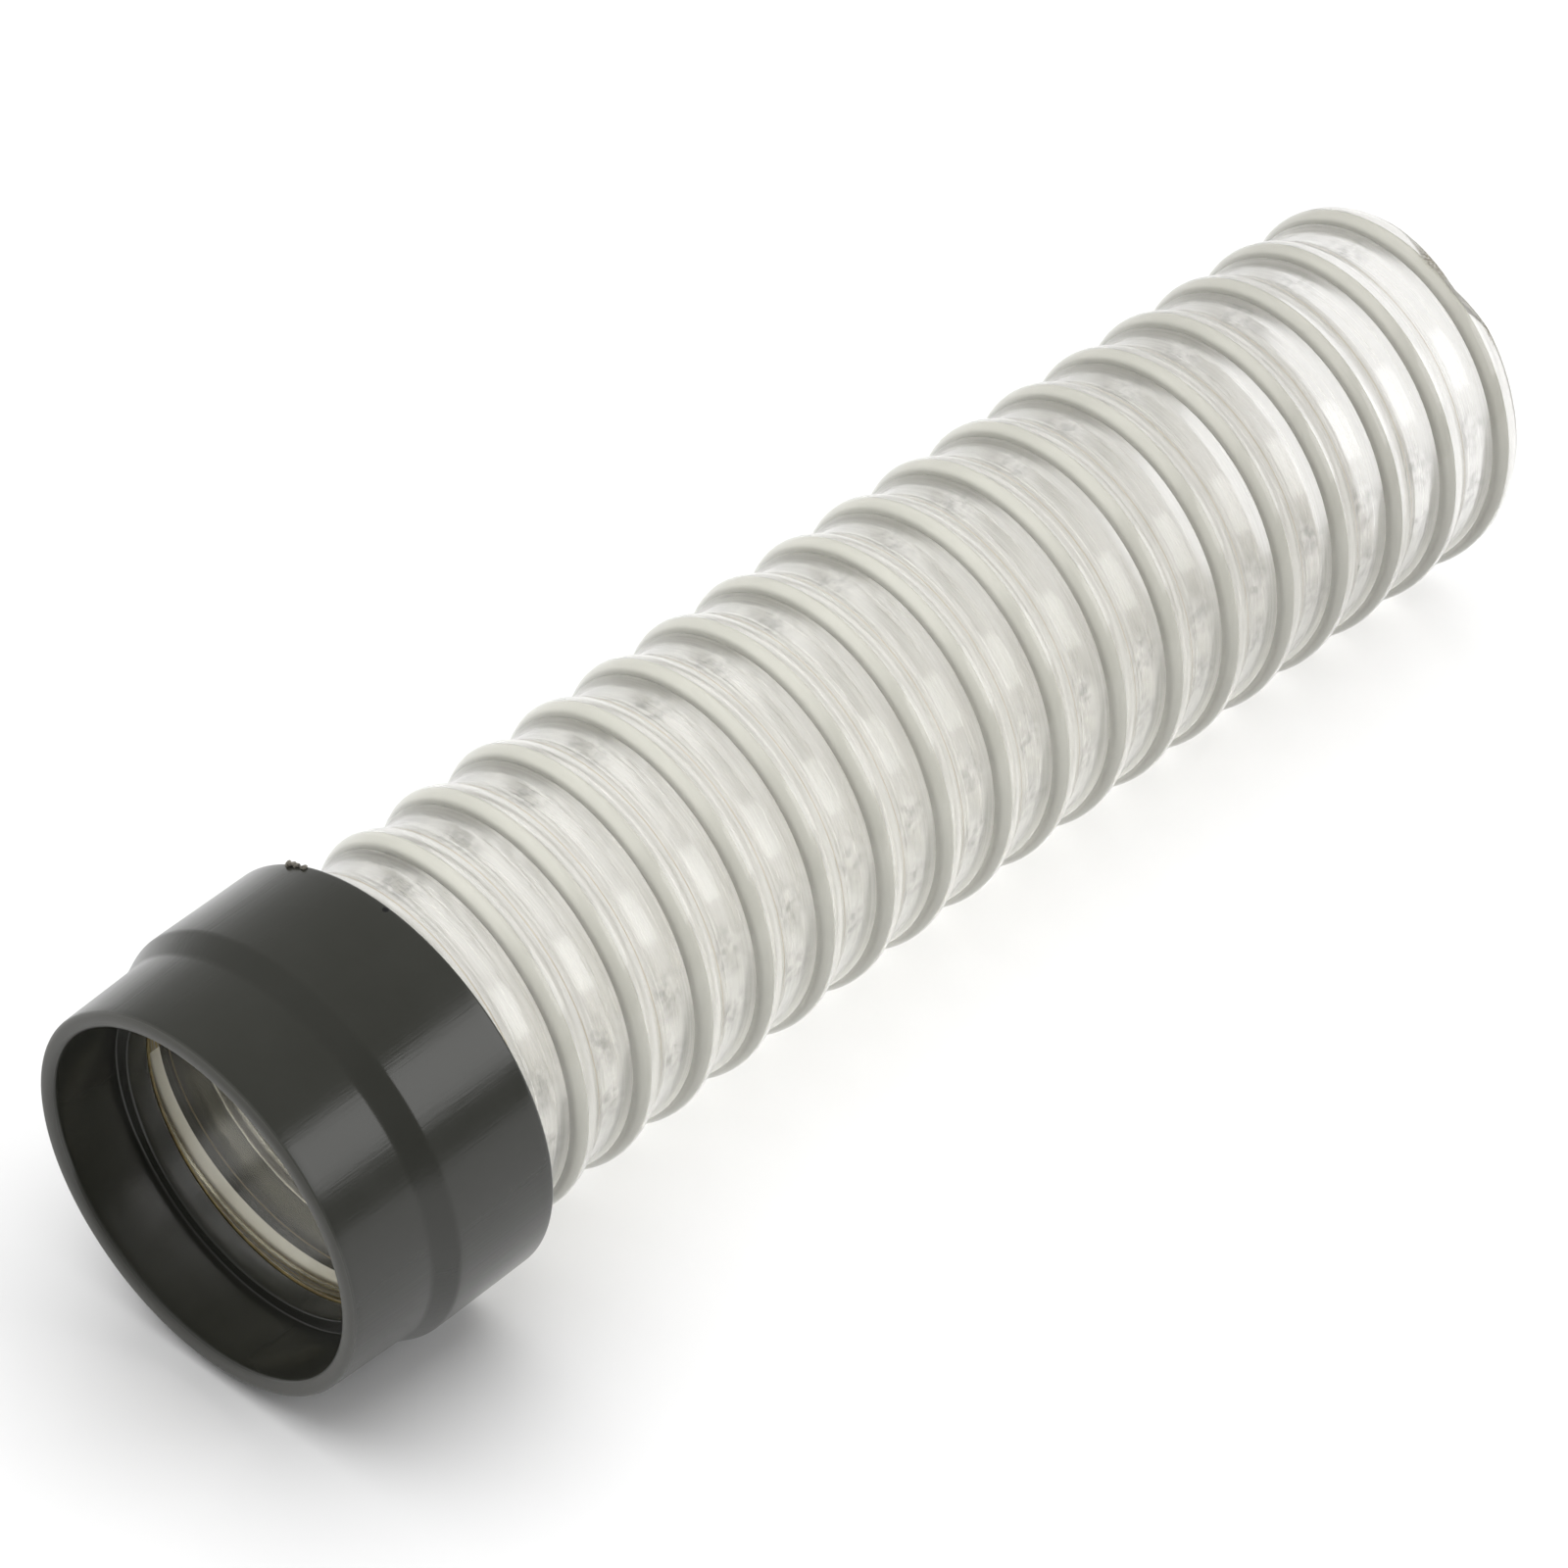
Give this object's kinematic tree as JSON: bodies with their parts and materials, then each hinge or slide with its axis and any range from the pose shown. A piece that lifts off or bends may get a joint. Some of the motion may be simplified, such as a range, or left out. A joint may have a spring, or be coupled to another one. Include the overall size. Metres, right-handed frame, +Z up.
{
  "type": "vacuum hose",
  "caption": "Short clear suction hose with a rigid spiral rib, a stepped push-on cuff on one end and a plain cut on the other.",
  "frame": {"origin": "centre of the cuff's mouth, where a fitting enters", "axes": "+X along the hose from the cuff to the cut end, +Z up as the hose lies on a flat surface"},
  "size_m": [0.1866, 0.0484, 0.0484],
  "materials": {
    "cuff_pvc": "semi-gloss dark grey moulded PVC",
    "cement": "set amber solvent cement",
    "clear_wall": "clear flexible PVC with faint streaks around the hose",
    "coil_pvc": "off-white rigid PVC"
  },
  "bodies": {
    "cuff_end": {"cuff": "cuff_pvc", "cement_ring": "cement", "hose_wall_00": "clear_wall", "coil_00": "coil_pvc"},
    "length_01": {"hose_wall_01": "clear_wall", "coil_01": "coil_pvc"},
    "length_02": {"hose_wall_02": "clear_wall", "coil_02": "coil_pvc"},
    "length_03": {"hose_wall_03": "clear_wall", "coil_03": "coil_pvc"},
    "length_04": {"hose_wall_04": "clear_wall", "coil_04": "coil_pvc"},
    "length_05": {"hose_wall_05": "clear_wall", "coil_05": "coil_pvc"},
    "length_06": {"hose_wall_06": "clear_wall", "coil_06": "coil_pvc"},
    "length_07": {"hose_wall_07": "clear_wall", "coil_07": "coil_pvc"},
    "length_08": {"hose_wall_08": "clear_wall", "coil_08": "coil_pvc"},
    "length_09": {"hose_wall_09": "clear_wall", "coil_09": "coil_pvc"},
    "length_10": {"hose_wall_10": "clear_wall", "coil_10": "coil_pvc"},
    "length_11": {"hose_wall_11": "clear_wall", "coil_11": "coil_pvc"},
    "length_12": {"hose_wall_12": "clear_wall", "coil_12": "coil_pvc"},
    "length_13": {"hose_wall_13": "clear_wall", "coil_13": "coil_pvc"}
  },
  "joints": [
    {"name": "bend_side", "type": "hinge", "parent": "cuff_end", "child": "length_01", "pos_m": [0.03195, 0, 0], "axis": [0, 0, 1], "range_deg": [-10, 10], "stiffness_Nm_per_rad": 0.1, "deforming": ["hose_wall_01", "hose_wall_00"]},
    {"name": "bend_up", "type": "hinge", "parent": "length_01", "child": "length_02", "pos_m": [0.0434, -0.00005, 0], "axis": [-0.0044, -1, 0], "range_deg": [-10, 10], "stiffness_Nm_per_rad": 0.1, "deforming": ["hose_wall_02"]},
    {"name": "bend_side_03", "type": "hinge", "parent": "length_02", "child": "length_03", "pos_m": [0.05485, -0.0001, -0.00006], "axis": [0.0056, 0, 1], "range_deg": [-10, 10], "stiffness_Nm_per_rad": 0.1, "deforming": ["hose_wall_03"]},
    {"name": "bend_up_04", "type": "hinge", "parent": "length_03", "child": "length_04", "pos_m": [0.0663, -0.0002, -0.00013], "axis": [-0.0087, -1, 0], "range_deg": [-10, 10], "stiffness_Nm_per_rad": 0.1, "deforming": ["hose_wall_04"]},
    {"name": "bend_side_05", "type": "hinge", "parent": "length_04", "child": "length_05", "pos_m": [0.07775, -0.0003, -0.00026], "axis": [0.0112, -0.0001, 0.9999], "range_deg": [-10, 10], "stiffness_Nm_per_rad": 0.1, "deforming": ["hose_wall_05"]},
    {"name": "bend_up_06", "type": "hinge", "parent": "length_05", "child": "length_06", "pos_m": [0.0892, -0.00045, -0.00038], "axis": [-0.0131, -0.9999, 0.0001], "range_deg": [-10, 10], "stiffness_Nm_per_rad": 0.1, "deforming": ["hose_wall_06"]},
    {"name": "bend_side_07", "type": "hinge", "parent": "length_06", "child": "length_07", "pos_m": [0.10064, -0.0006, -0.00058], "axis": [0.0168, -0.0001, 0.9999], "range_deg": [-10, 10], "stiffness_Nm_per_rad": 0.1, "deforming": ["hose_wall_07"]},
    {"name": "bend_up_08", "type": "hinge", "parent": "length_07", "child": "length_08", "pos_m": [0.11209, -0.0008, -0.00077], "axis": [-0.0175, -0.9998, 0.0001], "range_deg": [-10, 10], "stiffness_Nm_per_rad": 0.1, "deforming": ["hose_wall_08"]},
    {"name": "bend_side_09", "type": "hinge", "parent": "length_08", "child": "length_09", "pos_m": [0.12354, -0.001, -0.00102], "axis": [0.0223, -0.0002, 0.9998], "range_deg": [-10, 10], "stiffness_Nm_per_rad": 0.1, "deforming": ["hose_wall_09"]},
    {"name": "bend_up_10", "type": "hinge", "parent": "length_09", "child": "length_10", "pos_m": [0.13498, -0.00125, -0.00128], "axis": [-0.0218, -0.9998, 0.0002], "range_deg": [-10, 10], "stiffness_Nm_per_rad": 0.1, "deforming": ["hose_wall_10"]},
    {"name": "bend_side_11", "type": "hinge", "parent": "length_10", "child": "length_11", "pos_m": [0.14642, -0.0015, -0.0016], "axis": [0.0279, -0.0004, 0.9996], "range_deg": [-10, 10], "stiffness_Nm_per_rad": 0.1, "deforming": ["hose_wall_11"]},
    {"name": "bend_up_12", "type": "hinge", "parent": "length_11", "child": "length_12", "pos_m": [0.15786, -0.0018, -0.00192], "axis": [-0.0262, -0.9997, 0.0004], "range_deg": [-10, 10], "stiffness_Nm_per_rad": 0.1, "deforming": ["hose_wall_12"]},
    {"name": "bend_side_13", "type": "hinge", "parent": "length_12", "child": "length_13", "pos_m": [0.1693, -0.0021, -0.0023], "axis": [0.0335, -0.0005, 0.9994], "range_deg": [-10, 10], "stiffness_Nm_per_rad": 0.1, "deforming": ["hose_wall_13"]}
  ],
  "couplings": [
    {"joint": "bend_side_03", "follows": "bend_side", "ratio": 1},
    {"joint": "bend_up_04", "follows": "bend_up", "ratio": 1},
    {"joint": "bend_side_05", "follows": "bend_side", "ratio": 1},
    {"joint": "bend_up_06", "follows": "bend_up", "ratio": 1},
    {"joint": "bend_side_07", "follows": "bend_side", "ratio": 1},
    {"joint": "bend_up_08", "follows": "bend_up", "ratio": 1},
    {"joint": "bend_side_09", "follows": "bend_side", "ratio": 1},
    {"joint": "bend_up_10", "follows": "bend_up", "ratio": 1},
    {"joint": "bend_side_11", "follows": "bend_side", "ratio": 1},
    {"joint": "bend_up_12", "follows": "bend_up", "ratio": 1},
    {"joint": "bend_side_13", "follows": "bend_side", "ratio": 1}
  ]
}
